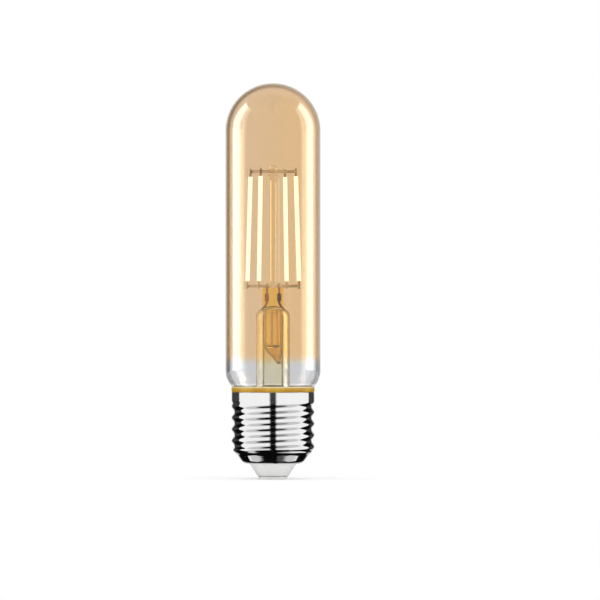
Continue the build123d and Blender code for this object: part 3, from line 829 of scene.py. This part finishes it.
lobe_rise = (lobe_level - wall_level + low_lobe) * (lobe_near * (1 - lobe_far))
lobe_height = studio.between(elevation, *lobe_span, 4.0)
lamps = core_height * core_rise + lobe_height * lobe_rise
print("soft lights at", core_level, "and", lobe_level, "times the wall")

# %% [markdown]
# ## Dark cards in the glass
# Photographers set dark cards far to the sides, so that clear glass gets an edge against white. A ring of them
# lies behind the lights, darker on the left, with a slightly dim wall beyond. Transmission Depth counts the faces
# that a ray has passed: inside the wall the cards look paler, and on the stem the lights are rebalanced.

# %% Cards, and the stem's share of the lights
card_ring, back_edge = (131.0, 153.0), (152.0, 156.0)  # angles from the camera's direction
through = studio.node("ShaderNodeLightPath", output="Transmission Depth")
in_wall, at_stem, in_stem = [studio.step(through, faces - 0.1, faces + 0.1) for faces in (0.5, 2.5, 6.5)]
cards = studio.between(from_camera, *card_ring, 1.5)
behind = studio.step(from_camera, *back_edge)
outer_shade = 0.18 + 0.42 * studio.step(east, -0.7, 0.7)
card_shade = outer_shade + 0.15 * in_wall + at_stem * (0.9 * left_share - 0.3)
stem_share = (1 + at_stem * (0.35 - 0.75 * left_share)) * (1 - 0.45 * in_stem)
in_glass = wall_level + cards * (card_shade - wall_level) - 0.25 * behind + stem_share * lamps
print("studio nodes for glass:", len(studio.tree.nodes))

# %% [markdown]
# ## The studio in the plated metal
# Plate mirrors everything, so it needs fewer and darker things: a dark gap where the camera stands, a dark screen
# on either side, and dark lids above and below that draw the lines between the turns. The gap leans by the
# thread's own slope. A flank tilts a reflection by just that much, so the dark bar runs straight down the thread.

# %% Gap, screens and lids
metal_wall, far_wall = 0.94, 0.6
gap_angles = (2.75, 6.0)  # degrees round the cap
left_screen, right_screen, back_opening = (106.5, 109.5), (116.5, 120.0), (158.0, 165.0)  # bearings
wall_fade, lid_edge, lid_top = (40.0, 50.0), (59.0, 66.0), (74.0, 77.0)  # up or down from level
lead_slope = pitch / (pi * (crest_radius + root_radius))
round_cap = (east + lead_slope * up) / (1 - north)  # tangent of the angle round the cap
gap = studio.step(abs(round_cap), *[tan(radians(angle)) for angle in gap_angles])
both_screens = studio.step(to_left - 0.24 * tilt, *left_screen) + studio.step(bearing, *right_screen)
screens = both_screens * (1 - 0.6 * studio.step(side, *back_opening))
paler_right = studio.step(round_cap, 0.05, 0.13) * (1 - studio.step(tilt, *lid_top))
paler = 0.12 + 0.33 * studio.step(elevation, -5.0, 5.0)
lids = studio.step(tilt, *lid_edge) * (1 - paler * paler_right)
fall = metal_wall + (far_wall - metal_wall) * studio.step(tilt, *wall_fade)
gloom = 0.05 - 0.047 * studio.step(tilt, 6.0, 26.0)
in_metal = gloom + gap * (1 - screens) * (1 - lids) * (fall - gloom)
print("the gap leans by", round(degrees(atan2(lead_slope, 1)), 2), "degrees")

# %% [markdown]
# ## Which of the three a ray gets
# The camera, and what it sees through the glass, get plain white, and so do matt surfaces, which need an even
# light. Only a ray that was mirrored and never scattered meets the studio. Light Path knows that from its depths,
# and its Singular Ray flag parts the perfectly smooth glass from the slightly rough plate.

# %% The world's strength
glossy = studio.node("ShaderNodeLightPath", output="Glossy Depth")
matt = studio.node("ShaderNodeLightPath", output="Diffuse Depth")
polished = studio.node("ShaderNodeLightPath", output="Is Singular Ray")
mirrored = in_metal + polished * (in_glass - in_metal)
in_mirror = studio.step(glossy, 0.4, 0.6) * (1 - studio.step(matt, 0.4, 0.6))
strength = in_mirror * (mirrored - wall_level) + wall_level
light = studio.node("ShaderNodeBackground", None, {"Color": (1, 1, 1, 1), "Strength": strength})
studio.node("ShaderNodeOutputWorld", None, {"Surface": light})
print("studio nodes:", len(studio.tree.nodes))

# %% [markdown]
# ## Floor and lamp
# The bulb stands on white paper, and a wide soft lamp above gives it a faint shadow there. A shadow catcher would
# leave no paper in other views, so the floor is a real disc with its own grain. Neither may show in the chrome,
# whose lower faces meet the dark lid instead.

# %% Paper floor
floor_finish = new_finish("pale_paper_floor")
paper = floor_finish.noise(0.4, 4.0)
floor_finish.surface(
    Base_Color=floor_finish.blend(paper, (0.93, 0.93, 0.93, 1), (0.95, 0.95, 0.95, 1)),
    Roughness=0.9,
    Specular_IOR_Level=0.0,
    Normal=floor_finish.bump(paper, 0.05, 0.1),
)
floor_level, floor_radius = -0.05, 350
floor = turned("floor", [(0, floor_level), (floor_radius, floor_level)], 96)
floor.data.flip_normals()
floor.data.materials.append(floor_finish.owner)
floor.visible_glossy = False

# %% Soft lamp overhead
lamp = bpy.data.lights.new("overhead_softbox", "AREA")
lamp.shape = "RECTANGLE"
lamp.size, lamp.size_y = 1.4, 1.2
lamp.energy = 4.0
overhead = bpy.data.objects.new("overhead_softbox", lamp)
overhead.location = (0.0, -0.3, 1.4)
overhead.rotation_euler = (radians(-12), 0, 0)
overhead.visible_glossy = False
overhead.visible_transmission = False
scene.collection.objects.link(overhead)
print("soft lamp:", lamp.energy, "watts over", round(lamp.size * lamp.size_y, 2), "square metres")

# %% [markdown]
# ## Camera
# The photograph looks level at the lamp from far away, so both sides stay parallel. An orthographic camera would
# do too, but a long lens keeps the slight perspective of a photo. The picture is 600 pixels wide and shows 3.163
# pixels per millimetre at the lamp's axis; the lens follows from that and the distance. Light has to pass many
# walls of glass here, so the bounces are raised above their usual number.

# %% A long lens, level with the middle of the picture
picture, scale, distance = 600, 3.163, 2000.0  # pixels, pixels per millimetre, millimetres
axis_column, base_row = 273.0, 478.7  # where the photograph shows the axis and the contact's face
camera_data = bpy.data.cameras.new("camera")
camera_data.sensor_width = 36.0
camera_data.lens = camera_data.sensor_width * distance / (picture / scale)
camera = bpy.data.objects.new("camera", camera_data)
aim_x = (picture / 2 - axis_column) / scale
aim_z = (base_row - picture / 2) / scale
camera.location = (aim_x * MM, -distance * MM, aim_z * MM)
camera.rotation_euler = (pi / 2, 0, 0)
scene.collection.objects.link(camera)
scene.camera = camera
scene.view_settings.view_transform = "Standard"
scene.cycles.use_denoising = True
scene.cycles.max_bounces = 24
scene.cycles.transmission_bounces = 24
scene.cycles.glossy_bounces = 8
print("lens in mm:", round(camera_data.lens, 1))
